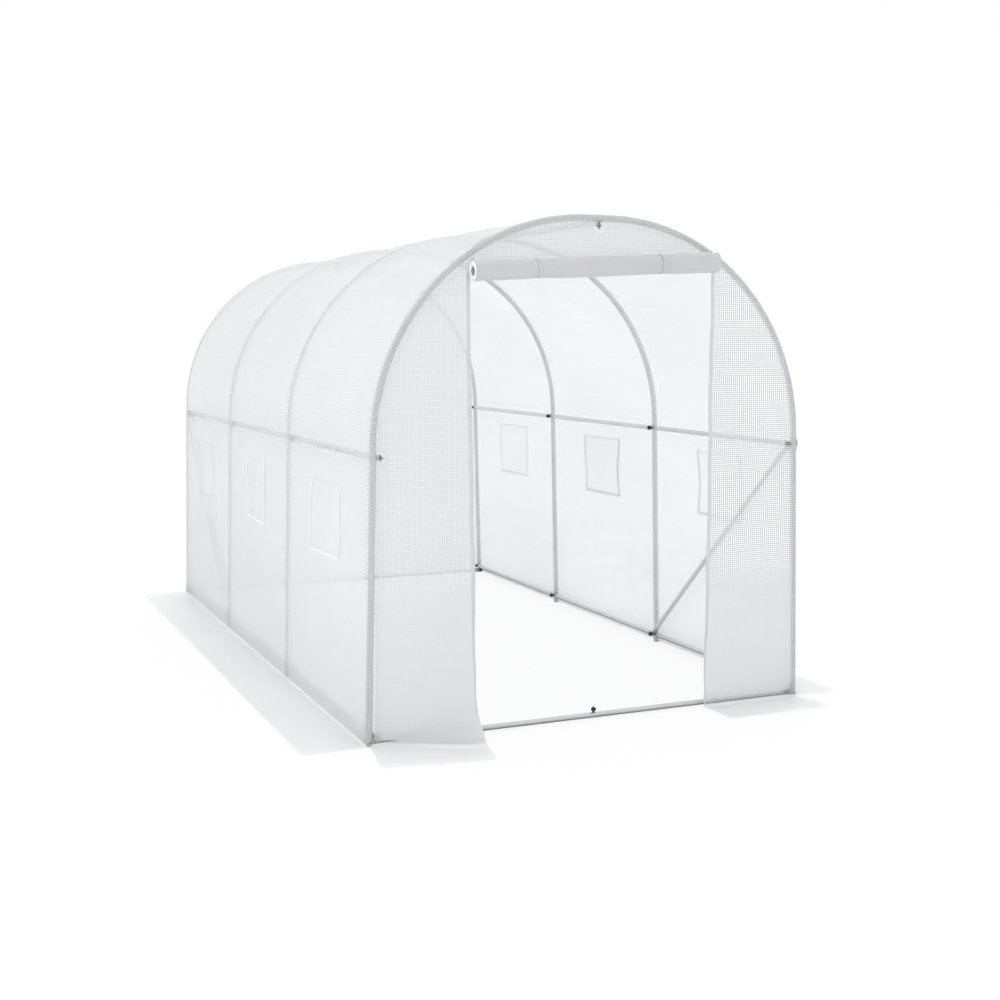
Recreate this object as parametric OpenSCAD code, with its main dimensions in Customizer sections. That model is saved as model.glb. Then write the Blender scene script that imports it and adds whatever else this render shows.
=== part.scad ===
// Walk-in polytunnel greenhouse: four tube hoops in three bays, bolted rails and braces,
// and a film cover with a rolled-up door, side windows and ground skirts.
// +Y runs from the door end to the rear end and +Z is up.

/* [Tunnel] */
// Width over the hoops
tunnel_width = 1880; // [1600:10:2400]
// Height over the hoops
tunnel_height = 2000; // [1800:10:2400]
// Length from the middle of the front hoop to the middle of the rear hoop
tunnel_length = 3500; // [2700:10:4500]
// Half the straight run at the crown of a hoop
crown_flat = 55; // [45:1:100]
// Lean of the legs, outwards to their feet
leg_lean = 1.4; // [0:0.1:3]
// Drop from the start of a hoop's bend to the bolts of the side rails
rail_drop = 49; // [21:1:80]

/* [Tubes] */
// Outside diameter of the hoop tube
hoop_od = 25; // [22:0.5:32]
// Wall of the hoop tube
tube_wall = 1; // [0.8:0.1:1.5]
// Length of the swaged end that slips into the next tube
spigot_length = 50; // [40:1:60]
// Length of the shoulder behind a swaged end
shoulder_length = 6; // [4:1:8]
// Step between a hoop's bend and its straight tail
tail_step = 0.1; // [0.05:0.05:0.2]
// Clearance round a swaged end
spigot_clearance = 0.2; // [0.1:0.05:0.3]
// Distance from a side rail's bolt to the top edge of the leg
leg_margin = 14; // [12:1:15]

/* [Rails] */
// Outside diameter of the rails and braces
rail_od = 22; // [19:0.5:25]
// Thickness of a flattened rail end
tab_thickness = 3; // [2:0.5:4]
// Gap between flattened ends that share a bolt
tab_gap = 0.2; // [0.1:0.05:0.3]
// Width of a flattened rail end
tab_width = 24; // [18:1:25]
// Length of a flattened end from its bolt to the neck
tab_length = 24; // [16:1:40]
// Length of the neck between a flattened end and the round tube
neck_length = 30; // [20:1:50]
// Step between a neck and the round tube
neck_step = 0.3; // [0.2:0.1:0.5]
// Height of the side ground rails
ground_rail_height = 42; // [40:1:80]
// Height of the front and rear ground rails
end_rail_height = 14; // [13:0.5:20]

/* [Bolts and knobs] */
// Diameter of the bolts
bolt_d = 6; // [5:0.5:8]
// Clearance round a bolt in its holes
bolt_clearance = 0.5; // [0.3:0.1:0.8]
// Diameter over the lobes of a hand knob
knob_d = 21; // [20:1:28]
// Lobes on a hand knob
knob_lobes = 5; // [3:1:7]
// Height of the lobed grip of a hand knob
knob_grip = 10; // [7:0.5:12]
// Height of the round boss under the grip
knob_boss = 7; // [3:0.5:10]
// Height of the cone that caps a hand knob
knob_cap = 6; // [3:0.5:8]

/* [Cover] */
// Thickness of the cover
film = 2; // [1:0.5:3]
// Gap between the cover and the tubes
film_gap = 0.3; // [0.2:0.1:0.5]
// Width of the skirts along the two sides, were the cover in the middle
side_skirt = 230; // [150:5:350]
// How far the cover sits round to the left
cover_shift = 25; // [0:1:80]
// Depth of the skirt left of the door, at the door
front_left_depth = 330; // [150:5:400]
// Depth of the skirt left of the door, at its outer corner
front_left_corner = 255; // [150:5:400]
// How far the skirt left of the door draws back from the doorway
front_left_inset = 48; // [0:1:100]
// Depth of the skirt right of the door
front_right_depth = 205; // [150:5:400]
// How far the front skirts flare out past the side walls
front_flare = 30; // [0:1:80]
// Depth of the skirt at the rear
rear_depth = 250; // [150:5:350]

/* [Windows] */
// Length of a window
window_length = 355; // [250:5:600]
// Height of a window
window_height = 280; // [200:5:450]
// Drop from the side rails' bolts to the top of a window
window_drop = 120; // [100:5:200]
// Thickness of a window's screen
screen = 1; // [0.5:0.1:1]
// Overlap of a window flap on the wall
flap_overlap = 25; // [15:1:40]

/* [Door] */
// Width of the doorway
door_width = 1034; // [800:2:1200]
// How far the doorway sits to the right of the middle
door_shift = -15; // [-60:1:60]
// Drop from the hoops' top to the top of the doorway
header_depth = 200; // [170:1:300]
// Tilt of the rolled-up door, its left end lower
roll_tilt = 3; // [0:0.5:4]
// Outside diameter of the rolled-up door
roll_d = 86; // [60:1:110]
// Length of the rolled-up door
roll_length = 1050; // [800:2:1200]
// Turns of the rolled-up door
roll_turns = 4; // [3:1:5]
// Thickness of one turn
roll_layer = 3; // [2:0.5:4]
// Width of the zip strips along the doorway
zip_width = 20; // [15:1:30]
// Thickness of the zip strips
zip_thickness = 3; // [2:0.5:4]
// Distance between the two straps that hold the roll
strap_spacing = 560; // [300:5:700]
// How far the straps sit to the right of the doorway's middle
strap_shift = -22; // [-80:1:80]
// Width of a strap
strap_width = 25; // [15:1:40]
// Length of a strap's tail on the header
strap_tail = 60; // [30:1:80]

/* [Hidden] */
$fn = 64;
neck_sides = 24;
arch_sides = 360;
crown_angle = 60;
overlap = 1;
bays = 3;
bay = tunnel_length / bays;

hoop_r = hoop_od / 2;
tube_id = hoop_od - 2 * tube_wall;
spigot_od = tube_id - 2 * spigot_clearance;
spigot_id = spigot_od - 2 * tube_wall;
half_width = tunnel_width / 2 - hoop_r;
bend_r = half_width - crown_flat;
crown_z = tunnel_height - hoop_r;
spring_z = crown_z - bend_r;
rail_z = spring_z - rail_drop;
leg_top = rail_z + leg_margin;
hole_d = bolt_d + 2 * bolt_clearance;
knob_lobe_d = knob_d / 3;
knob_boss_d = knob_d / 2;
rail_run = tab_length + neck_length;

// Half the tunnel's width at a height, at an offset outwards from the middle line of a leg
function reach(offset_out, z) =
    crown_flat + (bend_r + offset_out) / cos(leg_lean) + (spring_z - z) * tan(leg_lean);

// Height on an upright leg of a point, at an offset outwards, that the lean brings to height z
function along_leg(offset_out, z) =
    spring_z + (z - spring_z - (bend_r + offset_out) * sin(leg_lean)) / cos(leg_lean);

leg_foot = along_leg(-hoop_r, 0);
ground_rail_z = along_leg(0, ground_rail_height);
end_rail_z = along_leg(0, end_rail_height);
end_rail_half = reach(0, end_rail_height);

// Offsets of the cover's two faces from the middle line of a hoop
inner_face = hoop_r + film_gap;
outer_face = inner_face + film;
wall_x = half_width + inner_face;
wall_foot = along_leg(inner_face, film);
skirt_x = reach(inner_face, film);
panel_x = reach(outer_face, film);
panel_y = inner_face;

door_half = door_width / 2;
door_left = door_shift - door_half;
door_right = door_shift + door_half;
door_top = tunnel_height - header_depth;
zip_y = -outer_face - zip_thickness;
roll_r = roll_d / 2;
roll_y = zip_y - film_gap - roll_r;
strap_r = roll_r + film_gap;
wedge = 2 * tunnel_height;

// The origin is the middle of the ground that the skirts cover
front_reach = panel_y + max(front_left_depth, front_right_depth);
rear_reach = tunnel_length + panel_y + rear_depth;
front_hoop_y = (front_reach - rear_reach) / 2;

LEFT = -1;
RIGHT = 1;
tube_colour = [0.72, 0.73, 0.75];
film_colour = [0.93, 0.94, 0.95, 0.55];
trim_colour = [0.80, 0.81, 0.83];
knob_colour = [0.08, 0.08, 0.09];

// Places a piece drawn with the front hoop at y = 0 and the crown at x = 0
module placed(colour) {
    color(colour) translate([cover_shift, front_hoop_y, 0]) children();
}

// Leans an upright piece of one side out with the legs, about the middle of the hoops' bend
module leant(side) {
    translate([side * crown_flat, 0, spring_z]) rotate([0, -side * leg_lean, 0])
        translate([-side * crown_flat, 0, -spring_z]) children();
}

// Hoops

module tube(od, id, length) {
    linear_extrude(length) difference() {
        circle(d = od);
        circle(d = id);
    }
}

// A swaged end that points down, with its shoulder above z = 0
module swaged_end() {
    translate([0, 0, -spigot_length]) tube(spigot_od, spigot_id, spigot_length);
    tube(hoop_od, spigot_id, shoulder_length);
}

module cross_hole(turn) {
    rotate(turn) cylinder(d = hole_d, h = 2 * hoop_od, center = true);
}

module leg(end_hoop) {
    difference() {
        translate([0, 0, leg_foot]) tube(hoop_od, tube_id, leg_top - leg_foot);
        translate([0, 0, rail_z]) cross_hole([0, 90, 0]);
        translate([0, 0, ground_rail_z]) cross_hole([0, 90, 0]);
        if (end_hoop) translate([0, 0, end_rail_z]) cross_hole([90, 0, 0]);
    }
}

module hoop_legs(hoop) {
    for (side = [LEFT, RIGHT])
        leant(side) translate([side * half_width, hoop * bay, 0])
            leg(hoop == 0 || hoop == bays);
}

// Half a hoop on the right, with its swaged foot; the crown run ends at crown_end
module arch_tube(crown_end) {
    tail_start = leg_top + shoulder_length;
    leant(RIGHT) {
        translate([half_width, 0, tail_start])
            tube(hoop_od - 2 * tail_step, tube_id + 2 * tail_step, spring_z + overlap - tail_start);
        translate([half_width, 0, leg_top]) swaged_end();
    }
    translate([crown_flat, 0, spring_z])
        rotate([0, -90, -90])
            rotate_extrude(angle = 90 - leg_lean)
                translate([bend_r, 0]) difference() {
                    circle(d = hoop_od);
                    circle(d = tube_id);
                }
    translate([crown_end, 0, crown_z])
        rotate([0, 90, 0]) tube(hoop_od, tube_id, crown_flat - crown_end);
}

// The right half reaches past the middle and takes the left half's swaged end
module right_arch(hoop) {
    translate([0, hoop * bay, 0]) difference() {
        arch_tube(-spigot_length / 2);
        leant(RIGHT) translate([half_width, 0, rail_z]) cross_hole([0, 90, 0]);
        translate([0, 0, crown_z]) cross_hole([0, 0, 0]);
    }
}

module left_arch(hoop) {
    crown_end = spigot_length / 2;
    translate([0, hoop * bay, 0]) mirror([1, 0, 0]) difference() {
        union() {
            arch_tube(crown_end + shoulder_length);
            translate([crown_end, 0, crown_z]) rotate([0, 90, 0]) swaged_end();
        }
        leant(RIGHT) translate([half_width, 0, rail_z]) cross_hole([0, 90, 0]);
        translate([0, 0, crown_z]) cross_hole([0, 0, 0]);
    }
}

module front_hoop_legs() placed(tube_colour) hoop_legs(0);
module front_hoop_left_arch() placed(tube_colour) left_arch(0);
module front_hoop_right_arch() placed(tube_colour) right_arch(0);
module second_hoop_legs() placed(tube_colour) hoop_legs(1);
module second_hoop_left_arch() placed(tube_colour) left_arch(1);
module second_hoop_right_arch() placed(tube_colour) right_arch(1);
module third_hoop_legs() placed(tube_colour) hoop_legs(2);
module third_hoop_left_arch() placed(tube_colour) left_arch(2);
module third_hoop_right_arch() placed(tube_colour) right_arch(2);
module rear_hoop_legs() placed(tube_colour) hoop_legs(3);
module rear_hoop_left_arch() placed(tube_colour) left_arch(3);
module rear_hoop_right_arch() placed(tube_colour) right_arch(3);

// Rails and braces

// A flattened end with its bolt hole at x = 0 and its neck along +X, which leads to the tube.
// The end is turned about the tube's middle line, and lies at a height off that line.
module rail_end(turn, height) {
    translate([0, 0, height]) rotate([turn, 0, 0]) difference() {
        union() {
            cylinder(d = tab_width, h = tab_thickness, center = true);
            translate([0, -tab_width / 2, -tab_thickness / 2])
                cube([tab_length, tab_width, tab_thickness]);
        }
        cylinder(d = hole_d, h = 3 * tab_thickness, center = true);
    }
    hull() {
        translate([0, 0, height]) rotate([turn, 0, 0])
            translate([tab_length - overlap, -tab_width / 2, -tab_thickness / 2])
                cube([overlap, tab_width, tab_thickness]);
        translate([rail_run, 0, 0])
            rotate([0, 90, 0])
                cylinder(d = rail_od - 2 * neck_step, h = overlap, $fn = neck_sides);
    }
}

// A rail along +X between two bolts; its far end lies at a height off its middle line
module rail(length, height = 0, start_turn = 0) {
    rail_end(start_turn, 0);
    translate([length, 0, 0]) mirror([1, 0, 0]) rail_end(0, height);
    translate([rail_run, 0, 0]) rotate([0, 90, 0]) cylinder(d = rail_od, h = length - 2 * rail_run);
}

// Middle of the layer-th flattened end on the inner side of a hoop tube
function layer_at(layer) = hoop_r + tab_thickness / 2 + layer * (tab_thickness + tab_gap);

// Depth of a stack of flattened ends on one bolt
function stack_depth(layers) = layers * tab_thickness + (layers - 1) * tab_gap;

// Layer of a bay's front end; at a middle hoop it lies over the next bay's end
function front_layer(bay_no) = bay_no == 0 ? 0 : 1;
function rail_layers(hoop) = hoop == 0 || hoop == bays ? 1 : 2;

// Rails along one side at height z on the upright legs
module long_side_rails(side, z) {
    leant(side) for (i = [0 : bays - 1]) {
        start = layer_at(front_layer(i));
        translate([side * (half_width - start), i * bay, z])
            rotate([90, 0, 90]) rail(bay, side * (start - layer_at(0)));
    }
}

module left_side_rails() placed(tube_colour) long_side_rails(LEFT, rail_z);
module right_side_rails() placed(tube_colour) long_side_rails(RIGHT, rail_z);
module left_ground_rails() placed(tube_colour) long_side_rails(LEFT, ground_rail_z);
module right_ground_rails() placed(tube_colour) long_side_rails(RIGHT, ground_rail_z);

module ridge_rails() placed(tube_colour)
    for (i = [0 : bays - 1]) {
        start = layer_at(front_layer(i));
        translate([0, i * bay, crown_z - start])
            rotate([0, 0, 90]) rail(bay, start - layer_at(0));
    }

// The left half of a rail across one end; its open end reaches past the middle
module socket_half() {
    rail_end(90, 0);
    difference() {
        translate([rail_run, 0, 0]) rotate([0, 90, 0])
            cylinder(d = rail_od, h = end_rail_half + spigot_length / 2 - rail_run);
        translate([end_rail_half - spigot_length / 2 - overlap, 0, 0]) rotate([0, 90, 0])
            cylinder(d = rail_od - 2 * tube_wall, h = spigot_length + 2 * overlap);
        translate([end_rail_half, 0, 0]) cross_hole([0, 0, 0]);
    }
}

// The right half, drawn from its own leg; its thinner end slips into the left half
module spigot_half() {
    rail_end(90, 0);
    shoulder = end_rail_half - spigot_length / 2 - tab_gap;
    difference() {
        union() {
            translate([rail_run, 0, 0]) rotate([0, 90, 0]) cylinder(d = rail_od, h = shoulder - rail_run);
            translate([shoulder - overlap, 0, 0]) rotate([0, 90, 0])
                cylinder(d = rail_od - 2 * tube_wall - 2 * spigot_clearance, h = spigot_length + overlap);
        }
        translate([end_rail_half, 0, 0]) cross_hole([0, 0, 0]);
    }
}

// Two halves of a rail across one end, slipped together and bolted in the middle
module end_rails(y) {
    translate([-end_rail_half, y, end_rail_height]) socket_half();
    translate([end_rail_half, y, end_rail_height]) rotate([0, 0, 180]) spigot_half();
}

module front_ground_rails() placed(tube_colour) end_rails(layer_at(0));
module rear_ground_rails() placed(tube_colour) end_rails(tunnel_length - layer_at(0));

// A brace from the foot of one hoop up to the side rail at the next hoop
module brace(side, foot_hoop, top_hoop) {
    along = (top_hoop - foot_hoop) * bay;
    up = rail_z - ground_rail_z;
    start = layer_at(rail_layers(foot_hoop));
    finish = layer_at(rail_layers(top_hoop));
    leant(side) translate([side * (half_width - start), foot_hoop * bay, ground_rail_z])
        rotate([90, 0, 90]) rotate([0, 0, atan2(up, along)])
            rail(norm([along, up]), side * (start - finish));
}

module left_brace() placed(tube_colour) brace(LEFT, bays - 1, bays);
module right_brace() placed(tube_colour) brace(RIGHT, 1, 0);

// Hand knobs

// A lobed knob that stands up from z = 0, on a bolt that reaches down through grip_depth.
// The gap between two lobes faces the cover, at cover_angle.
module knob(grip_depth, cover_angle = 0) {
    cylinder(d = knob_boss_d, h = knob_boss);
    translate([0, 0, knob_boss]) linear_extrude(knob_grip) {
        circle(d = knob_d - knob_lobe_d);
        for (i = [0 : knob_lobes - 1])
            rotate(cover_angle + (i + 0.5) * 360 / knob_lobes)
                translate([(knob_d - knob_lobe_d) / 2, 0]) circle(d = knob_lobe_d);
    }
    translate([0, 0, knob_boss + knob_grip]) cylinder(d1 = knob_boss_d, d2 = bolt_d, h = knob_cap);
    translate([0, 0, -grip_depth]) cylinder(d = bolt_d, h = grip_depth);
}

// Flattened ends under a knob, the end of a brace among them
function side_stack(side, hoop) =
    rail_layers(hoop) + (hoop == (side == LEFT ? bays : 0) ? 1 : 0);
function ground_stack(side, hoop) =
    rail_layers(hoop) + (hoop == (side == LEFT ? bays - 1 : 1) ? 1 : 0);

module hand_knobs() placed(knob_colour) {
    for (hoop = [0 : bays]) {
        end_angle = hoop == bays ? 90 : -90;
        for (side = [LEFT, RIGHT]) {
            rail_stack = stack_depth(side_stack(side, hoop));
            foot_stack = stack_depth(ground_stack(side, hoop));
            leant(side) translate([side * (half_width - hoop_r - rail_stack), hoop * bay, rail_z])
                rotate([0, -side * 90, 0]) knob(rail_stack + hoop_od, end_angle);
            leant(side) translate([side * (half_width - hoop_r - foot_stack), hoop * bay, ground_rail_z])
                rotate([0, -side * 90, 0]) knob(foot_stack + hoop_od, end_angle);
        }
        ridge_stack = stack_depth(rail_layers(hoop));
        translate([0, hoop * bay, crown_z - hoop_r - ridge_stack])
            rotate([180, 0, 0]) knob(ridge_stack + hoop_od, -end_angle);
    }
    for (rear = [0, 1]) {
        y = rear * tunnel_length;
        inward = rear == 0 ? 1 : -1;
        for (side = [LEFT, RIGHT])
            translate([side * end_rail_half, y + inward * (hoop_r + tab_thickness), end_rail_height])
                rotate([-inward * 90, 0, 0]) knob(tab_thickness + hoop_od, side == RIGHT ? 0 : 180);
        translate([0, y + inward * layer_at(0), end_rail_height + rail_od / 2]) knob(rail_od);
    }
}

// Cover

// The tunnel's outline, offset outwards from the middle line of a hoop
module outline(offset_out) {
    r = bend_r + offset_out;
    for (side = [LEFT, RIGHT]) translate([side * crown_flat, spring_z]) circle(r, $fn = arch_sides);
    translate([-crown_flat, spring_z]) square([2 * crown_flat, r]);
    foot = reach(offset_out, 0);
    top = [crown_flat + r * cos(leg_lean), spring_z + r * sin(leg_lean)];
    polygon([[-foot, 0], [foot, 0], top, [-top.x, top.y]]);
}

// Stands a drawing in X and Z up, with its front face at y
module upright(y, depth) {
    translate([0, y + depth, 0]) rotate([90, 0, 0]) linear_extrude(depth) children();
}

// A strip of the arched roof inside a drawing that starts at the middle of the hoops' bend
module roof_strip() {
    upright(-panel_y, tunnel_length + 2 * panel_y) intersection() {
        difference() {
            outline(outer_face);
            outline(inner_face);
        }
        translate([0, spring_z]) children();
    }
}

// The strip between the top of a side wall and the crown
module side_roof(side) {
    roof_strip() polygon([
        [0, 0],
        [side * crown_flat, 0],
        [side * (crown_flat + wedge * cos(leg_lean)), wedge * sin(leg_lean)],
        wedge * [side * cos(crown_angle), sin(crown_angle)]
    ]);
}

module left_roof() placed(film_colour) side_roof(LEFT);
module right_roof() placed(film_colour) side_roof(RIGHT);
module crown_roof() placed(film_colour) roof_strip()
    polygon([
        [0, 0],
        wedge * [cos(crown_angle), sin(crown_angle)],
        wedge * [-cos(crown_angle), sin(crown_angle)]
    ]);

// Lower edge of the windows on one side
function sill(side) = rail_z - window_drop - window_height + side * cover_shift;

// A slab on a side wall, centred on each bay, at a distance off the wall's inner face
module window_slabs(side, off, depth, margin) {
    leant(side) for (i = [0 : bays - 1])
        translate([
            side * (wall_x + off) - (side == LEFT ? depth : 0),
            (i + 0.5) * bay - window_length / 2 - margin,
            sill(side) - margin
        ])
            cube([depth, window_length + 2 * margin, window_height + 2 * margin]);
}

module side_wall(side) {
    difference() {
        leant(side) translate([side == LEFT ? -wall_x - film : wall_x, -panel_y, wall_foot])
            cube([film, tunnel_length + 2 * panel_y, spring_z - wall_foot]);
        window_slabs(side, -film, 3 * film, 0);
    }
}

module left_wall() placed(film_colour) side_wall(LEFT);
module right_wall() placed(film_colour) side_wall(RIGHT);

module left_window_screens() placed(trim_colour) window_slabs(LEFT, 0, screen, 0);
module right_window_screens() placed(trim_colour) window_slabs(RIGHT, 0, screen, 0);
module left_window_flaps() placed(film_colour) window_slabs(LEFT, film, film, flap_overlap);
module right_window_flaps() placed(film_colour) window_slabs(RIGHT, film, film, flap_overlap);

// The tunnel's end outline between two lines across it, above the skirts
module end_panel(y, from_x, to_x) {
    upright(y, film) intersection() {
        outline(outer_face);
        translate([from_x, film]) square([to_x - from_x, tunnel_height]);
    }
}

module front_left_panel() placed(film_colour) end_panel(-outer_face, -tunnel_width, door_left);
module front_right_panel() placed(film_colour) end_panel(-outer_face, door_right, tunnel_width);
module rear_panel() placed(film_colour)
    end_panel(tunnel_length + panel_y, -tunnel_width, tunnel_width);

module front_header() placed(film_colour)
    upright(-outer_face, film) intersection() {
        outline(outer_face);
        translate([door_left, 0]) square([door_width, wedge]);
        translate([door_shift, door_top]) rotate(roll_tilt)
            translate([-tunnel_width, 0]) square([2 * tunnel_width, tunnel_height]);
    }

module side_skirt_slab(side) {
    width = side_skirt - side * cover_shift;
    translate([side == LEFT ? -skirt_x - width : skirt_x, -panel_y, 0])
        cube([width, tunnel_length + 2 * panel_y, film]);
}

module left_skirt() placed(film_colour) side_skirt_slab(LEFT);
module right_skirt() placed(film_colour) side_skirt_slab(RIGHT);

// A skirt on the ground before the front panels, drawn out from their feet
module front_skirt() {
    translate([0, -panel_y, 0]) linear_extrude(film) children();
}

module front_left_skirt() placed(film_colour) front_skirt()
    polygon([
        [-panel_x, 0],
        [-panel_x - front_flare, -front_left_corner],
        [door_left - front_left_inset, -front_left_depth],
        [door_left, 0]
    ]);

module front_right_skirt() placed(film_colour) front_skirt()
    polygon([
        [door_right, 0],
        [door_right, -front_right_depth],
        [panel_x + front_flare, -front_right_depth],
        [panel_x, 0]
    ]);

module rear_skirt() placed(film_colour)
    translate([-panel_x, tunnel_length + panel_y, 0])
        cube([2 * panel_x, rear_depth, film]);

// Door

// A zip strip on the front of a panel, up to the rolled-up door
module door_zip(side) {
    translate([door_shift + side * door_half - (side == LEFT ? zip_width : 0), zip_y, film])
        cube([zip_width, zip_thickness, door_top + side * door_half * tan(roll_tilt) - film]);
}

module left_door_zip() placed(trim_colour) door_zip(LEFT);
module right_door_zip() placed(trim_colour) door_zip(RIGHT);

// A frame whose X axis is the middle line of the rolled-up door
module on_roll() {
    translate([door_shift, roll_y, door_top]) rotate([0, -roll_tilt, 0]) children();
}

roll_step = 15;
roll_pitch = (roll_r - roll_layer) / (roll_turns + 1);
function roll_at(angle, inset) =
    (roll_r - inset - roll_pitch * angle / 360) * [cos(angle), sin(angle)];

module rolled_door() placed(film_colour) on_roll()
    rotate([90, 0, 90]) linear_extrude(roll_length, center = true)
        polygon([
            for (a = [0 : roll_step : 360 * roll_turns]) roll_at(a, 0),
            for (a = [360 * roll_turns : -roll_step : 0]) roll_at(a, roll_layer)
        ]);

module door_straps() placed(trim_colour) on_roll()
    for (side = [LEFT, RIGHT])
        translate([strap_shift + side * strap_spacing / 2, 0, 0])
            rotate([90, 0, 90]) linear_extrude(strap_width, center = true) {
                difference() {
                    circle(strap_r + film);
                    circle(strap_r);
                }
                translate([-roll_y - outer_face - film, 0])
                    square([film, roll_r + strap_tail]);
            }

front_hoop_legs();
front_hoop_left_arch();
front_hoop_right_arch();
second_hoop_legs();
second_hoop_left_arch();
second_hoop_right_arch();
third_hoop_legs();
third_hoop_left_arch();
third_hoop_right_arch();
rear_hoop_legs();
rear_hoop_left_arch();
rear_hoop_right_arch();
left_side_rails();
right_side_rails();
ridge_rails();
left_ground_rails();
right_ground_rails();
front_ground_rails();
rear_ground_rails();
left_brace();
right_brace();
hand_knobs();
left_wall();
right_wall();
left_roof();
crown_roof();
right_roof();
front_left_panel();
front_right_panel();
front_header();
rear_panel();
left_skirt();
right_skirt();
front_left_skirt();
front_right_skirt();
rear_skirt();
left_window_screens();
right_window_screens();
left_window_flaps();
right_window_flaps();
left_door_zip();
right_door_zip();
rolled_door();
door_straps();
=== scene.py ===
"""Looks of the polytunnel: film cover with its woven threads, windows, door roll, zips, straps and finishes.

The row frame is in metres, +Y from the door end to the rear end, +Z up. Shapes are worked out about the
hoops' crown line at x = 0, and moved to the row frame as they are made.
"""

import math

import bpy
import numpy as np
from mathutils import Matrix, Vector


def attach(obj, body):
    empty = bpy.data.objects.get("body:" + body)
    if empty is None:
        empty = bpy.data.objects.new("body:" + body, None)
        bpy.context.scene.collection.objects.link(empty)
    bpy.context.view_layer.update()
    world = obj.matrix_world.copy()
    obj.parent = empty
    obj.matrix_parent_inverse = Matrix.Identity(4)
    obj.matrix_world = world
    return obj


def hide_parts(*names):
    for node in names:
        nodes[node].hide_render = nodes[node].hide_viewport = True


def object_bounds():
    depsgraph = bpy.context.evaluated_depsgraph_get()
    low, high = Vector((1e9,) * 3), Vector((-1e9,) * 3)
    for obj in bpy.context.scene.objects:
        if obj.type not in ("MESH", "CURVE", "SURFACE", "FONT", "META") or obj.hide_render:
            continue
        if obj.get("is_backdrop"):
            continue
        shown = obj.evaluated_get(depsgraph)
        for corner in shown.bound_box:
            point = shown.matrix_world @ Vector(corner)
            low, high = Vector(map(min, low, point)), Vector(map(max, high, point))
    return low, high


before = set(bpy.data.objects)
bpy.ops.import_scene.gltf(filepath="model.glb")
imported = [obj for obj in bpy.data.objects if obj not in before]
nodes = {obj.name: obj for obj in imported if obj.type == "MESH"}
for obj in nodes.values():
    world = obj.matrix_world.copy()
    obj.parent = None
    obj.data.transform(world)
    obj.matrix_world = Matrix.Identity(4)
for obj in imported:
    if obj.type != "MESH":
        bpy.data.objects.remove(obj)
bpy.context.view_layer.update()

# Tube frame, as in the part: middle lines of the hoops
MIDDLE_X = 0.025
HALF_WIDTH = 0.9275
CROWN_FLAT = 0.055
BEND_R = HALF_WIDTH - CROWN_FLAT
SPRING_Z = 1.115
LEAN = math.radians(1.4)
SWEEP = math.pi / 2 - LEAN
FRONT_Y = -1.71
REAR_Y = 1.79
BAYS = 3
BAY = (REAR_Y - FRONT_Y) / BAYS
RAIL_Z = 1.0873
END_RAIL_Z = 0.014
TUBE_R = 0.0125

# Cover: the film's distance from the hoops' middle lines, and its feet on the ground
FILM_OFF = 0.0138
GROUND_Z = 0.0012
FOOT_R = 0.008
SKIRT_X = {-1: 1.2225, 1: 1.1725}
FOOT_HALF = HALF_WIDTH + SPRING_Z * math.tan(LEAN)
FRONT_FILM_Y = FRONT_Y - FILM_OFF
REAR_FILM_Y = REAR_Y + FILM_OFF

# Film: the heights between which the dust line fades, and below which the film lies on the ground
DUST_Z = (0.66, 0.40)
LAID_Z = (0.005, 0.009)

# Distances from a tube's or knob's middle between which the film goes from clear to hazy
HOOP_CLEAR = (0.03, 0.07)
RAIL_CLEAR = (0.014, 0.028)
ARCH_CLEAR = (0.012, 0.019)
KNOB_CLEAR = (0.024, 0.032)
KNOB_DROP = 0.03
KNOB_INWARD = 0.025
SWEPT_AWAY = 0.06

# Places across the end covers between which the film grows hazier to the left
HAZY_X = (0.52, 0.40)

# Skirts before the end covers, and the bend at their feet
LEFT_SKIRT = 0.255
LEFT_SKIRT_MORE = 0.076
RIGHT_SKIRT = 0.204
REAR_SKIRT = 0.236
FOOT_BEND = 0.012
FOOT_SWEEP = 0.17

# Threads woven into the film
PITCH = 0.0085
UPRIGHT_PITCH = 0.0098
THREAD = 0.0019
LIFT = 0.0004
STEP = 0.04

# Door, roll and windows
DOOR_LEFT_FOOT = -0.527
DOOR_LEFT_TOP = -0.545
DOOR_RIGHT = 0.502
DOOR_MIDDLE = -0.015
DOOR_TOP = 1.8
TILT = math.radians(3)
WINDOW_HALF = 0.1775
WINDOWS = {-1: (0.6628, 0.9427), 1: (0.7128, 0.9927)}
FLAP_OVER = 0.014
SCREEN_OVER = 0.005
SCREEN_LIFT = -0.0012
FLAP_LIFT = 0.0018
TAPE_LIFT = 0.0042
TAPE_UPRIGHT = 0.014
TAPE_LEVEL = 0.009


# Mesh helpers

def add_mesh(name, points, faces, materials, smooth=True):
    """A new mesh piece from points about the crown line and faces of three or four corners."""
    mesh = bpy.data.meshes.new(name)
    mesh.from_pydata((np.asarray(points, float) + (MIDDLE_X, 0, 0)).tolist(), [], [list(f) for f in faces])
    mesh.polygons.foreach_set("use_smooth", [smooth] * len(mesh.polygons))
    for m in materials:
        mesh.materials.append(m)
    mesh.validate()
    mesh.update()
    ob = bpy.data.objects.new(name, mesh)
    bpy.context.scene.collection.objects.link(ob)
    return ob


def grid_faces(rows, columns, keep=None):
    """Quads of a grid of points in row order; keep is a mask of rows - 1 by columns - 1."""
    i, j = np.meshgrid(np.arange(rows - 1), np.arange(columns - 1), indexing="ij")
    a = i * columns + j
    quads = np.stack([a, a + 1, a + columns + 1, a + columns], -1)
    if keep is None:
        return quads.reshape(-1, 4)
    return quads[keep]


def used_only(points, faces):
    """Drops points that no face uses."""
    used, at = np.unique(faces, return_inverse=True)
    return points[used], at.reshape(faces.shape)


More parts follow.
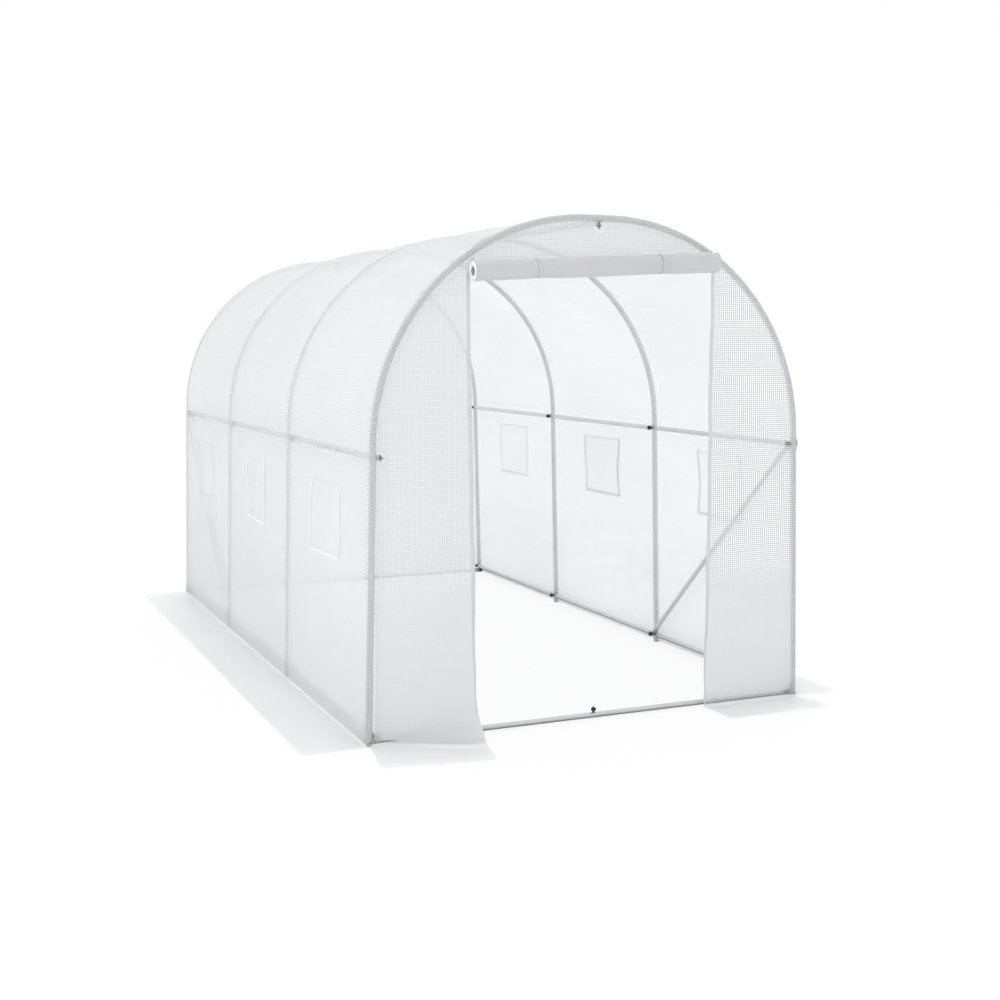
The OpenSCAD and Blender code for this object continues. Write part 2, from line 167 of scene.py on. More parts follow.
def ribbons(left, right, keep=None):
    """Points and quads of flat threads: left and right are lines by stations by 3."""
    lines, count = left.shape[:2]
    points = np.stack([left, right], 2).reshape(-1, 3)
    k, j = np.meshgrid(np.arange(lines), np.arange(count - 1), indexing="ij")
    a = (k * count + j) * 2
    quads = np.stack([a, a + 1, a + 3, a + 2], -1)
    quads = quads.reshape(-1, 4) if keep is None else quads[keep]
    return used_only(points, quads)


def joined(*shapes):
    """Several (points, quads) as one."""
    points, faces, at = [], [], 0
    for p, f in shapes:
        points.append(p)
        faces.append(np.asarray(f) + at)
        at += len(p)
    return np.concatenate(points), np.concatenate(faces)


def grid_shape(grid):
    """A grid of points, rows by columns by 3, as (points, quads)."""
    return grid.reshape(-1, 3), grid_faces(*grid.shape[:2])


def welded(*grids):
    """Grids that share their edges as one sheet, with quads that close up made triangles."""
    points, faces = joined(*[grid_shape(g) for g in grids])
    _, first, back = np.unique(np.round(points, 5), axis=0, return_index=True, return_inverse=True)
    corners = [list(dict.fromkeys(f)) for f in back.reshape(-1)[faces].tolist()]
    return points[first], [f for f in corners if len(f) >= 3]


def smoothstep(t):
    t = np.clip(t, 0, 1)
    return t * t * (3 - 2 * t)


def lumps(a, b, seed, shortest, longest, count=9):
    """Smooth lumps between -1 and 1 over a sheet, from sines of many directions."""
    rng = np.random.default_rng(seed)
    total = np.zeros(np.broadcast(a, b).shape)
    for _ in range(count):
        length = shortest * (longest / shortest) ** rng.random()
        turn = rng.random() * math.pi
        phase = rng.random() * 2 * math.pi
        along = a * math.cos(turn) + b * math.sin(turn)
        total = total + np.sin(2 * math.pi * along / length + phase)
    return np.tanh(1.4 * total / math.sqrt(count))


def middles(a):
    return (a[1:] + a[:-1]) / 2


def stations(edges, step):
    """Evenly spread stations through every edge."""
    out = []
    for a, b in zip(edges[:-1], edges[1:]):
        n = max(1, round((b - a) / step))
        out.extend(np.linspace(a, b, n, endpoint=False))
    return np.array(out + [edges[-1]])


# Materials

def new_material(name):
    m = bpy.data.materials.new(name)
    m.use_nodes = True
    m.node_tree.nodes.clear()
    out = m.node_tree.nodes.new("ShaderNodeOutputMaterial")
    return m, m.node_tree, out


def node(tree, kind, **values):
    n = tree.nodes.new(kind)
    for key, value in values.items():
        if key in n.inputs:
            n.inputs[key].default_value = value
        else:
            setattr(n, key, value)
    return n


def link(tree, a, b):
    tree.links.new(a, b)


def maths(tree, operation, a, b=None):
    """A Math node of two sockets or numbers."""
    n = tree.nodes.new("ShaderNodeMath")
    n.operation = operation
    for socket, value in zip(n.inputs, (a, b)):
        if value is None:
            continue
        if isinstance(value, (int, float)):
            socket.default_value = value
        else:
            link(tree, value, socket)
    return n.outputs[0]


def place_of(tree):
    return tree.nodes.new("ShaderNodeTexCoord").outputs["Object"]


def axes_of(tree, vector):
    """The x, y and z sockets of a vector."""
    n = tree.nodes.new("ShaderNodeSeparateXYZ")
    link(tree, vector, n.inputs[0])
    return n.outputs["X"], n.outputs["Y"], n.outputs["Z"]


def scaled(tree, colour, factor):
    """A colour times a socket or number."""
    n = node(tree, "ShaderNodeVectorMath", operation="SCALE")
    link(tree, colour, n.inputs[0])
    if isinstance(factor, (int, float)):
        n.inputs["Scale"].default_value = factor
    else:
        link(tree, factor, n.inputs["Scale"])
    return n.outputs[0]


def noise(tree, place, scale, detail=3.0, rough=0.5, stretch=None):
    if stretch is not None:
        m = node(tree, "ShaderNodeMapping")
        m.inputs["Scale"].default_value = stretch
        link(tree, place, m.inputs["Vector"])
        place = m.outputs[0]
    n = node(tree, "ShaderNodeTexNoise", Scale=scale, Detail=detail, Roughness=rough)
    link(tree, place, n.inputs["Vector"])
    return n.outputs["Fac"]


def ranged(tree, value, a, b, c, d, kind="LINEAR"):
    """value from a to b becomes c to d, clamped."""
    n = tree.nodes.new("ShaderNodeMapRange")
    n.interpolation_type = kind
    for key, number in zip(("From Min", "From Max", "To Min", "To Max"), (a, b, c, d)):
        n.inputs[key].default_value = number
    link(tree, value, n.inputs["Value"])
    return n.outputs["Result"]


def two_colours(tree, factor, low, high):
    n = node(tree, "ShaderNodeMix", data_type="RGBA")
    link(tree, factor, n.inputs["Factor"])
    for socket in n.inputs:
        if socket.type == "RGBA":
            socket.default_value = (*low, 1) if socket.name == "A" else (*high, 1)
    return next(s for s in n.outputs if s.type == "RGBA")


def bump(tree, height, strength, distance):
    n = node(tree, "ShaderNodeBump", Strength=strength, Distance=distance)
    link(tree, height, n.inputs["Height"])
    return n.outputs["Normal"]


def mix_shaders(tree, factor, a, b):
    n = tree.nodes.new("ShaderNodeMixShader")
    if isinstance(factor, (int, float)):
        n.inputs[0].default_value = factor
    else:
        link(tree, factor, n.inputs[0])
    link(tree, a, n.inputs[1])
    link(tree, b, n.inputs[2])
    return n.outputs[0]


def low_share(tree, place):
    """Nought above the knee-high dust line of the cover and one below it."""
    z = axes_of(tree, place)[2]
    return ranged(tree, z, *DUST_Z, 0.0, 1.0, "SMOOTHSTEP")


def tinted(value):
    """The film's cool white at a brightness."""
    return (value * 0.995, value * 0.997, min(1.0, value * 1.012))


def dust_and_ground_light(tree, place, high, low):
    """The film's white: above the dust line, below it, and a whiter painted light on the ground, where the
    laid film loses light.
    """
    z = axes_of(tree, place)[2]
    wall = two_colours(tree, low_share(tree, place), tinted(high), tinted(low))
    # Painted light: film lying on the ground gets a whiter colour than the wall film, making up for the light
    # it loses there.
    white = node(tree, "ShaderNodeMix", data_type="RGBA")
    link(tree, ranged(tree, z, *LAID_Z, 1.0, 0.0), white.inputs["Factor"])
    ends = {socket.name: socket for socket in white.inputs if socket.type == "RGBA"}
    link(tree, wall, ends["A"])
    ends["B"].default_value = (*tinted(1.0), 1)
    return next(socket for socket in white.outputs if socket.type == "RGBA")


def beside_tubes(tree, place):
    """One where a hoop or side rail stands close behind the main cover, and nought away from them."""
    _, y, z = axes_of(tree, place)
    hoop = maths(tree, "PINGPONG", maths(tree, "SUBTRACT", y, FRONT_Y - BAY), BAY / 2)
    near = ranged(tree, hoop, *HOOP_CLEAR, 1.0, 0.0, "SMOOTHSTEP")
    rail = maths(tree, "ABSOLUTE", maths(tree, "SUBTRACT", z, RAIL_Z))
    near = maths(tree, "MAXIMUM", near, ranged(tree, rail, *RAIL_CLEAR, 1.0, 0.0, "SMOOTHSTEP"))
    return maths(tree, "MULTIPLY", near, ranged(tree, z, 0.1, 0.65, 0.4, 1.0))


def length_of(tree, x, z):
    """Length of a step x across and z up."""
    square = maths(tree, "ADD", maths(tree, "MULTIPLY", x, x), maths(tree, "MULTIPLY", z, z))
    return maths(tree, "SQRT", square)


def distance_to(tree, x, z, at_x, at_z):
    """Distance of a point from a place across and up."""
    return length_of(tree, maths(tree, "SUBTRACT", x, at_x), maths(tree, "SUBTRACT", z, at_z))


def beside_arch(tree, place):
    """One where the end hoop, its ground rail or its knobs stand close behind an end cover."""
    x, _, z = axes_of(tree, place)
    across = maths(tree, "SUBTRACT", x, MIDDLE_X)
    apart = maths(tree, "ABSOLUTE", across)
    aside = maths(tree, "MAXIMUM", maths(tree, "SUBTRACT", apart, CROWN_FLAT), 0.0)
    above = maths(tree, "SUBTRACT", z, SPRING_Z)
    reach = length_of(tree, aside, maths(tree, "MAXIMUM", above, 0.0))
    spread = maths(tree, "MULTIPLY", maths(tree, "MINIMUM", above, 0.0), -math.tan(LEAN))
    arch = maths(tree, "ABSOLUTE", maths(tree, "SUBTRACT", reach, maths(tree, "ADD", spread, BEND_R)))
    # The left panel's foot sweeps away from the ground rail towards the door
    swept = ranged(tree, x, MIDDLE_X - FOOT_HALF, MIDDLE_X + DOOR_LEFT_FOOT, 0.0, SWEPT_AWAY)
    swept = maths(tree, "MULTIPLY", swept, maths(tree, "LESS_THAN", x, 0.0))
    foot = maths(tree, "ADD", maths(tree, "ABSOLUTE", maths(tree, "SUBTRACT", z, END_RAIL_Z)), swept)
    tubes = ranged(tree, maths(tree, "MINIMUM", arch, foot), *ARCH_CLEAR, 1.0, 0.0, "SMOOTHSTEP")
    crown = distance_to(tree, across, z, 0.0, SPRING_Z + BEND_R - KNOB_DROP)
    joint = distance_to(tree, apart, z, HALF_WIDTH - KNOB_INWARD, RAIL_Z)
    knobs = ranged(tree, maths(tree, "MINIMUM", crown, joint), *KNOB_CLEAR, 1.0, 0.0, "SMOOTHSTEP")
    return maths(tree, "MAXIMUM", tubes, knobs)


def film_material(name, clear, high, low, through=0.6, dust=0.0, near=None, touch=0.66, tint=1.0, left=0.0):
    """Reinforced film: its clear share, its white above and below the dust line, and the light let through.

    The clear share is tinted, is less by dust below the dust line and by left on the left side, and rises
    to touch near the tubes."""
    m, tree, out = new_material(name)
    place = place_of(tree)
    cloud = noise(tree, place, 2.3, 4.0, 0.55)
    streak = noise(tree, place, 5.0, 3.0, 0.6, (1.0, 0.35, 1.6))
    near_ground = low_share(tree, place)
    haze = ranged(tree, cloud, 0.3, 0.7, -0.02, 0.02)
    haze = maths(tree, "ADD", haze, ranged(tree, streak, 0.3, 0.7, -0.015, 0.015))
    haze = maths(tree, "ADD", haze, maths(tree, "MULTIPLY", near_ground, dust))
    haze = maths(tree, "ADD", haze, 1 - clear)
    x, _, z = axes_of(tree, place)
    if left:
        haze = maths(tree, "ADD", haze, ranged(tree, x, *HAZY_X, 0.0, left, "SMOOTHSTEP"))
    if near is not None:
        shown = maths(tree, "SUBTRACT", 1.0, maths(tree, "MULTIPLY", near(tree, place), touch))
        haze = maths(tree, "MINIMUM", haze, shown)
    white = dust_and_ground_light(tree, place, high, low)
    # Painted shade: broad darker patches stand in for the shade of soft folds, mixed with a little of the
    # streak pattern, and darken the film's white by up to about 5 %.
    painted_fold_shade = noise(tree, place, 1.7, 1.5, 0.4, (1.0, 0.6, 1.0))
    patchy_tone = maths(tree, "ADD", maths(tree, "MULTIPLY", painted_fold_shade, 0.8), maths(tree, "MULTIPLY", streak, 0.2))
    patchy_tone = ranged(tree, patchy_tone, 0.32, 0.68, 0.945, 1.0)
    colour = scaled(tree, white, patchy_tone)
    normal = bump(tree, noise(tree, place, 14.0, 4.0, 0.6), 0.15, 0.004)
    face = node(tree, "ShaderNodeBsdfPrincipled", Roughness=0.4, IOR=1.4)
    link(tree, colour, face.inputs["Base Color"])
    link(tree, normal, face.inputs["Normal"])
    behind = node(tree, "ShaderNodeBsdfTranslucent")
    link(tree, scaled(tree, colour, 1.06), behind.inputs["Color"])
    link(tree, normal, behind.inputs["Normal"])
    passed = ranged(tree, z, *LAID_Z, 0.05, through)
    haze = maths(tree, "ADD", haze, ranged(tree, z, *LAID_Z, 1.0, 0.0))
    body = mix_shaders(tree, passed, face.outputs[0], behind.outputs[0])
    gap = node(tree, "ShaderNodeBsdfTransparent", Color=(tint, tint, tint, 1))
    link(tree, mix_shaders(tree, haze, gap.outputs[0], body), out.inputs["Surface"])
    return m


def thread_material(name, high, low, through=0.5):
    """White woven threads, of another white below the dust line, and a whiter painted light where they lie on
    the ground.
    """
    m, tree, out = new_material(name)
    place = place_of(tree)
    fuzz = ranged(tree, noise(tree, place, 160.0, 3.0, 0.6), 0.3, 0.7, 0.97, 1.0)
    colour = scaled(tree, dust_and_ground_light(tree, place, high, low), fuzz)
    face = node(tree, "ShaderNodeBsdfPrincipled", Roughness=0.5)
    link(tree, colour, face.inputs["Base Color"])
    behind = node(tree, "ShaderNodeBsdfTranslucent")
    link(tree, colour, behind.inputs["Color"])
    link(tree, mix_shaders(tree, through, face.outputs[0], behind.outputs[0]), out.inputs["Surface"])
    return m


def tube_material():
    """Zinc-grey painted steel tube with faint mottling, and painted shade darkening its underside near the
    ground.
    """
    m, tree, out = new_material("tube_steel")
    place = place_of(tree)
    spots = noise(tree, place, 60.0, 4.0, 0.6)
    blotch = noise(tree, place, 7.0, 3.0, 0.5)
    tone = maths(tree, "ADD", maths(tree, "MULTIPLY", spots, 0.5), maths(tree, "MULTIPLY", blotch, 0.5))
    tone = ranged(tree, tone, 0.3, 0.7, 0.0, 1.0)
    colour = two_colours(tree, tone, (0.63, 0.635, 0.645), (0.71, 0.715, 0.725))
    # Painted shade: the colour darkens where the tube faces down near the ground, standing in for the floor's
    # contact shadow.
    low = ranged(tree, axes_of(tree, place)[2], 0.05, 0.09, 1.0, 0.0)
    facing = axes_of(tree, tree.nodes.new("ShaderNodeTexCoord").outputs["Normal"])
    painted_underside_shade = maths(tree, "MULTIPLY", low, ranged(tree, facing[2], 0.2, -0.7, 0.0, 0.7))
    colour = scaled(tree, colour, maths(tree, "SUBTRACT", 1.0, painted_underside_shade))
    face = node(tree, "ShaderNodeBsdfPrincipled", Metallic=0.7)
    link(tree, colour, face.inputs["Base Color"])
    link(tree, ranged(tree, spots, 0.3, 0.7, 0.28, 0.38), face.inputs["Roughness"])
    link(tree, bump(tree, spots, 0.06, 0.0004), face.inputs["Normal"])
    link(tree, face.outputs[0], out.inputs["Surface"])
    return m


def knob_material():
    """Black moulded plastic, slightly scuffed."""
    m, tree, out = new_material("knob_plastic")
    place = place_of(tree)
    grain = noise(tree, place, 900.0, 2.0, 0.5)
    scuff = noise(tree, place, 90.0, 4.0, 0.65)
    worn = ranged(tree, scuff, 0.45, 0.75, 0.0, 1.0)
    colour = two_colours(tree, worn, (0.012, 0.012, 0.014), (0.045, 0.045, 0.05))
    face = node(tree, "ShaderNodeBsdfPrincipled")
    link(tree, colour, face.inputs["Base Color"])
    link(tree, ranged(tree, scuff, 0.3, 0.7, 0.36, 0.55), face.inputs["Roughness"])
    link(tree, bump(tree, grain, 0.15, 0.0003), face.inputs["Normal"])
    link(tree, face.outputs[0], out.inputs["Surface"])
    return m


def webbing_material(name, light, dark, scale=420.0):
    """Woven tape: a fine rib across it and a soft mottling."""
    m, tree, out = new_material(name)
    place = place_of(tree)
    rib = node(tree, "ShaderNodeTexWave", Scale=scale, Distortion=0.6, Detail=1.0)
    rib.wave_type = "BANDS"
    rib.bands_direction = "DIAGONAL"
    link(tree, place, rib.inputs["Vector"])
    patchy_tone = noise(tree, place, 18.0, 4.0, 0.6)
    ribbed = maths(tree, "MULTIPLY", rib.outputs["Fac"], 0.35)
    tone = maths(tree, "ADD", ribbed, maths(tree, "MULTIPLY", patchy_tone, 0.65))
    colour = two_colours(tree, ranged(tree, tone, 0.25, 0.75, 0.0, 1.0), dark, light)
    face = node(tree, "ShaderNodeBsdfPrincipled", Roughness=0.7)
    link(tree, colour, face.inputs["Base Color"])
    link(tree, bump(tree, rib.outputs["Fac"], 0.3, 0.0005), face.inputs["Normal"])
    link(tree, face.outputs[0], out.inputs["Surface"])
    return m


cover_film = film_material("cover_film", 0.20, 0.93, 0.91, 0.6, 0.05, beside_tubes, 0.66)
panel_film = film_material("panel_film", 0.72, 0.90, 0.92, 0.6, 0.72, beside_arch, 0.92,
                           tint=0.945, left=0.36)
flap_film = film_material("flap_film", 0.20, 0.92, 0.92, 0.6)
roll_film = film_material("roll_film", 0.02, 0.86, 0.86, 0.3)
screen_cloth = film_material("screen_cloth", 0.34, 0.92, 0.92, 0.6)
cover_thread = thread_material("cover_thread", 0.91, 0.90, 0.55)
panel_thread = thread_material("panel_thread", 0.91, 0.90)
seam_tape = thread_material("seam_tape", 1.0, 1.0, 0.1)
tube = tube_material()
knob = knob_material()
strap_tape = webbing_material("strap_tape", (0.67, 0.675, 0.69), (0.59, 0.595, 0.61))
zip_tape = webbing_material("zip_tape", (0.76, 0.765, 0.78), (0.66, 0.665, 0.68))


# Main cover: one sheet from the left skirt over the hoops to the right skirt

ROOF_R = BEND_R + FILM_OFF
WALL_TOP_X = CROWN_FLAT + ROOF_R * math.cos(LEAN)
WALL_TOP_Z = SPRING_Z + ROOF_R * math.sin(LEAN)
WALL_DROP = (WALL_TOP_Z - FOOT_R * (1 - math.sin(LEAN)) - GROUND_Z) / math.cos(LEAN)
FOOT_X = WALL_TOP_X + WALL_DROP * math.sin(LEAN) + FOOT_R * math.cos(LEAN)
S_ARC = CROWN_FLAT + ROOF_R * SWEEP
S_WALL = S_ARC + WALL_DROP
S_FOOT = S_WALL + FOOT_R * SWEEP
S_END = {side: S_FOOT + reach - FOOT_X for side, reach in SKIRT_X.items()}


def girth(s):
    """Place and outward normal on the cover's cross section, s from the crown and positive to the right."""
    side, t = np.where(s < 0, -1.0, 1.0), np.abs(s)
    turn = np.clip((t - CROWN_FLAT) / ROOF_R, 0, SWEEP)
    down = np.clip(t - S_ARC, 0, WALL_DROP)
    slope = np.where(t < S_WALL, turn, SWEEP - np.clip((t - S_WALL) / FOOT_R, 0, SWEEP))
    foot_x = np.where(t < S_WALL, 0, FOOT_R * (math.sin(SWEEP) - np.sin(slope)))
    foot_z = np.where(t < S_WALL, 0, FOOT_R * (np.cos(slope) - math.cos(SWEEP)))
    out = np.clip(t - S_FOOT, 0, None)
    x = np.minimum(t, CROWN_FLAT) + ROOF_R * np.sin(turn) + down * math.sin(LEAN) + foot_x + out
    z = SPRING_Z + ROOF_R * np.cos(turn) - down * math.cos(LEAN) - foot_z
    return side * x, z, side * np.sin(slope), np.cos(slope)


def wall_s(z):
    """The cover's s at height z on a side wall."""
    return S_ARC + (WALL_TOP_Z - z) / math.cos(LEAN)


def hoop_places():
    return [FRONT_Y + i * BAY for i in range(BAYS + 1)]


def bay_middles():
    return [FRONT_Y + (i + 0.5) * BAY for i in range(BAYS)]


CAP_R = 0.012
CAP_H = 0.006


def cap_bulge(s, y):
    """How far the bolt cap on the front right leg pushes the film out."""
    away = np.hypot(s - wall_s(RAIL_Z), y - FRONT_Y)
    return CAP_H * smoothstep((0.036 - away) / 0.026)


def cover(s, y, lift=0.0):
    """A point of the main cover; y is measured along the film, round the end hoops' tubes."""
    s, y = np.broadcast_arrays(np.asarray(s, float), np.asarray(y, float))
    x, z, nx, nz = girth(s)
    t = np.abs(s)
    held = smoothstep((S_WALL - t) / 0.10)
    past = np.clip(FRONT_Y - y, 0, None) + np.clip(y - REAR_Y, 0, None)
    end = np.where(y < 0, -1.0, 1.0)
    angle = np.clip(past / FILM_OFF, 0, math.pi / 2)
    flat_y = np.clip(y, FRONT_Y, REAR_Y)
    wrap_y = flat_y + end * FILM_OFF * (held * np.sin(angle) + (1 - held) * angle / (math.pi / 2))
    drop = held * FILM_OFF * (np.cos(angle) - 1)
    across = np.abs(np.sin(math.pi * (flat_y - FRONT_Y) / BAY))
    roofed = smoothstep((S_ARC + 0.25 - t) / 0.5)
    sag = -(0.006 + 0.006 * roofed) * across ** 1.2
    lump = 0.011 * lumps(s, 0.5 * flat_y, 11, 0.3, 0.9, 12)
    lump = lump + 0.0012 * lumps(s, flat_y, 12, 0.15, 0.35, 10)
    ground = smoothstep((t - S_FOOT) / 0.05)
    rise = ground * 0.0018 * (1 + lumps(s, flat_y, 13, 0.15, 0.6))
    off = drop + held * (sag + across ** 2 * lump + cap_bulge(s, flat_y)) + rise
    off = off + lift * (1 - held * (1 - np.cos(angle)))
    along = lift * held * np.sin(angle) * end
    return np.stack([x + nx * off, wrap_y + along, z + nz * off], -1)


NEAR_CAP = np.array([-0.036, -0.023, -0.011, 0, 0.011, 0.023, 0.036])
WRAP = FILM_OFF * math.pi / 2
y_edges = [FRONT_Y, *(FRONT_Y + NEAR_CAP[4:])]
for middle, hoop_y in zip(bay_middles(), hoop_places()[1:]):
    near = hoop_y + (NEAR_CAP if hoop_y < REAR_Y - 0.1 else NEAR_CAP[:4])
    y_edges += [middle - WINDOW_HALF, middle + WINDOW_HALF, *near]
y_at = np.concatenate([np.linspace(FRONT_Y - WRAP, FRONT_Y, 5)[:-1], stations(y_edges, STEP),
                       np.linspace(REAR_Y, REAR_Y + WRAP, 5)[1:]])


def girth_stations(side):
    """Stations of s on one side, from the crown out to the skirt's edge."""
    low, high = WINDOWS[side]
    edges = [0, CROWN_FLAT, S_ARC - 0.04, *(wall_s(RAIL_Z) + NEAR_CAP), wall_s(high), wall_s(low),
             S_WALL - 0.1, S_WALL]
    foot = np.linspace(S_WALL, S_FOOT, 5)[1:]
    return np.concatenate([stations(edges, STEP), foot, stations([S_FOOT, S_END[side]], STEP)[1:]])


s_at = np.concatenate([-girth_stations(-1)[::-1], girth_stations(1)[1:]])


def in_window(s, y):
    """True for points inside a window opening."""
    hit = np.zeros(np.broadcast(s, y).shape, bool)
    for side, (low, high) in WINDOWS.items():
        level = (side * s < wall_s(low)) & (side * s > wall_s(high))
        for middle in bay_middles():
            hit |= level & (np.abs(y - middle) < WINDOW_HALF)
    return hit


def laid(at, lines, grid):
    """Lines between the rows of a grid of points, whose rows stand at places at."""
    i = np.clip(np.searchsorted(at, lines) - 1, 0, len(at) - 2)
    share = ((lines - at[i]) / (at[i + 1] - at[i]))[:, None, None]
    return grid[i] * (1 - share) + grid[i + 1] * share


film_grid = cover(s_at[:, None], y_at[None, :])
keep = ~in_window(middles(s_at)[:, None], middles(y_at)[None, :])
film_faces = grid_faces(len(s_at), len(y_at), keep)
main_cover = add_mesh("main_cover", *used_only(film_grid.reshape(-1, 3), film_faces), [cover_film])

# Lengthwise and crosswise threads of the main cover
lifted = cover(s_at[:, None], y_at[None, :], LIFT)
s_lines = np.arange(-S_END[-1] + PITCH / 2, S_END[1] - THREAD, PITCH)
keep = ~in_window(s_lines[:, None], middles(y_at)[None, :])
long_threads = ribbons(laid(s_at, s_lines - THREAD / 2, lifted),
                       laid(s_at, s_lines + THREAD / 2, lifted), keep)
cover_long_threads = add_mesh("cover_long_threads", *long_threads, [cover_thread])
y_lines = np.arange(FRONT_Y - WRAP + PITCH / 2, REAR_Y + WRAP - THREAD, PITCH)
keep = ~in_window(middles(s_at)[None, :], y_lines[:, None])
lifted = lifted.transpose(1, 0, 2)
cross_threads = ribbons(laid(y_at, y_lines - THREAD / 2, lifted),
                        laid(y_at, y_lines + THREAD / 2, lifted), keep)
cover_cross_threads = add_mesh("cover_cross_threads", *cross_threads, [cover_thread])
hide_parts("left_wall", "left_roof", "crown_roof", "right_roof", "right_wall",
            "left_skirt", "right_skirt")


# End covers: one sheet each, with its skirt on the ground

LEG_TOP_X = CROWN_FLAT + BEND_R * math.cos(LEAN)
LEG_TOP_Z = SPRING_Z + BEND_R * math.sin(LEAN)
CROWN_Z = SPRING_Z + BEND_R


def arch_x(z):
    """Half width of an end cover at height z, on the hoop's middle line."""
    up = np.clip(z - SPRING_Z, 0, BEND_R)
    bend = CROWN_FLAT + np.sqrt(BEND_R ** 2 - up ** 2)
    leg = LEG_TOP_X + (LEG_TOP_Z - z) * math.tan(LEAN)
    return np.where(z > LEG_TOP_Z, bend, leg)


def arch_z(x):
    """Top of an end cover at x."""
    past = np.clip(np.abs(x) - CROWN_FLAT, 0, BEND_R)
    bend = SPRING_Z + np.sqrt(BEND_R ** 2 - past ** 2)
    leg = LEG_TOP_Z - (np.abs(x) - LEG_TOP_X) / math.tan(LEAN)
    return np.where(np.abs(x) < LEG_TOP_X, bend, leg)


def door_edge(side, z):
    """The doorway's edge at height z; the left one leans out towards its top."""
    z = np.asarray(z, float)
    left = DOOR_LEFT_FOOT + (DOOR_LEFT_TOP - DOOR_LEFT_FOOT) * smoothstep((z - 0.3) / 1.4)
    return left if side < 0 else np.full(z.shape, DOOR_RIGHT)


def door_z(x):
    return DOOR_TOP + (x - DOOR_MIDDLE) * math.tan(TILT)


class EndCover:
    """An end sheet's shape: x across, v up the panel from the ground and below zero out along its skirt."""

    def __init__(self, y, out, seed, depth, bend, spread):
        self.y, self.out, self.seed = y, out, seed
        self.depth, self.bend, self.spread = depth, bend, spread

    def skirt(self, x):
        """Length of film from the ground line to the skirt's edge."""
        return self.depth(x) - (2 - math.pi / 2) * self.bend(x)

    def at(self, x, v, lift=0.0):
        x, v = np.broadcast_arrays(np.asarray(x, float), np.asarray(v, float))
        r = self.bend(x)
        turn = np.clip((r - v) / r, 0, math.pi / 2)
        flat = r - r * math.pi / 2 - v
        z = np.where(v > r, v, r * (1 - np.sin(turn))) + GROUND_Z
        forth = np.where(flat > 0, r + flat, r * (1 - np.cos(turn)))
        edge = np.clip((arch_x(z) - np.abs(x)) / 0.12, 0, 1)
        slack = smoothstep(edge) * smoothstep(v / 0.2)
        lump = 0.0046 * lumps(x, v, self.seed, 0.18, 0.7, 12) * slack
        rise = smoothstep(flat / 0.05) * 0.0018 * (1 + lumps(x, v, self.seed + 1, 0.15, 0.5))
        off = lump + lift
        aside = x + self.spread(x) * np.clip(-v / self.skirt(x), 0, 1)
        y = self.y + self.out * (forth + np.cos(turn) * off)
        return np.stack([aside, y, z + np.sin(turn) * off + rise], -1)


def beside_door(x):
    """Nought at a leg and one at the doorway."""
    leg = np.where(x < 0, FOOT_HALF + DOOR_LEFT_FOOT, FOOT_HALF - DOOR_RIGHT)
    return np.clip((FOOT_HALF - np.abs(x)) / leg, 0, 1)


def front_depth(x):
    """How far the skirt reaches out before the front cover."""
    return np.where(x < 0, LEFT_SKIRT + LEFT_SKIRT_MORE * beside_door(x), RIGHT_SKIRT)


def front_bend(x):
    """The foot is tight, but sweeps out at the left panel's free edge beside the door."""
    return FOOT_BEND + np.where(x < 0, FOOT_SWEEP, 0.0) * smoothstep(beside_door(x))


def front_spread(x):
    """How far the skirt's front edge lies to the right of its foot."""
    return np.where(x < 0, -0.045 - 0.006 * beside_door(x), 0.045 - 0.038 * beside_door(x))


front = EndCover(FRONT_FILM_Y, -1, 21, front_depth, front_bend, front_spread)
rear = EndCover(REAR_FILM_Y, 1, 31, lambda x: REAR_SKIRT + 0 * x, lambda x: FOOT_BEND + 0 * x,
                lambda x: 0 * x)

SKIRT_ROWS = 9
BEND_ROWS = 7
SIDE_ROWS = 80
HEAD_ROWS = 7


def rows_at(sheet, x, top):
    """The v of each row at places x of one panel: out on the skirt, round the foot and up to v = top."""
    skirt, r = sheet.skirt(x), sheet.bend(x)
    down = r - r * math.pi / 2
    share = [np.linspace(0, 1, n)[:, None] for n in (SKIRT_ROWS, BEND_ROWS, SIDE_ROWS)]
    out = -skirt + (skirt + down) * share[0][:-1]
    bend = down + (r - down) * share[1][:-1]
    up = r + (top - r) * share[2]
    return np.concatenate([out, bend, up])


def panel_grid(sheet, low, high, split, top, columns=36):
    """Points between the edges low(z) and high(z), with rows that match the header's above split."""
    share = np.linspace(0, 1, columns)
    z = np.concatenate([np.zeros(SKIRT_ROWS + BEND_ROWS - 2), np.linspace(0, split, SIDE_ROWS)])[:, None]
    x = low(z) + (high(z) - low(z)) * share
    v = np.stack([rows_at(sheet, x[k], split)[k] for k in range(len(z))])
    head_z = np.linspace(split, top, HEAD_ROWS)[1:, None]
    head_x = low(head_z) + (high(head_z) - low(head_z)) * share
    return sheet.at(np.concatenate([x, head_x]), np.concatenate([v, head_z + 0 * head_x]))


def header_grid(columns=44):
    """Points of the film over the door, by columns."""
    x = np.linspace(DOOR_LEFT_TOP, DOOR_RIGHT, columns)[:, None]
    share = np.linspace(0, 1, HEAD_ROWS)
    return front.at(x, door_z(x) + (arch_z(x) - door_z(x)) * share)


left_head = (float(door_z(DOOR_LEFT_TOP)), float(arch_z(DOOR_LEFT_TOP)))
right_head = (float(door_z(DOOR_RIGHT)), float(arch_z(DOOR_RIGHT)))
front_cover = add_mesh("front_cover", *welded(
    panel_grid(front, lambda z: -arch_x(z), lambda z: door_edge(-1, z), *left_head), header_grid(),
    panel_grid(front, lambda z: door_edge(1, z), arch_x, *right_head)), [panel_film])
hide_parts("front_left_panel", "front_right_panel", "front_header", "front_left_skirt",
            "front_right_skirt")
rear_cover = add_mesh("rear_cover", *welded(
    panel_grid(rear, lambda z: -arch_x(z), arch_x, CROWN_Z - 0.16, CROWN_Z - 0.0005, 90)), [panel_film])
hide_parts("rear_panel", "rear_skirt")


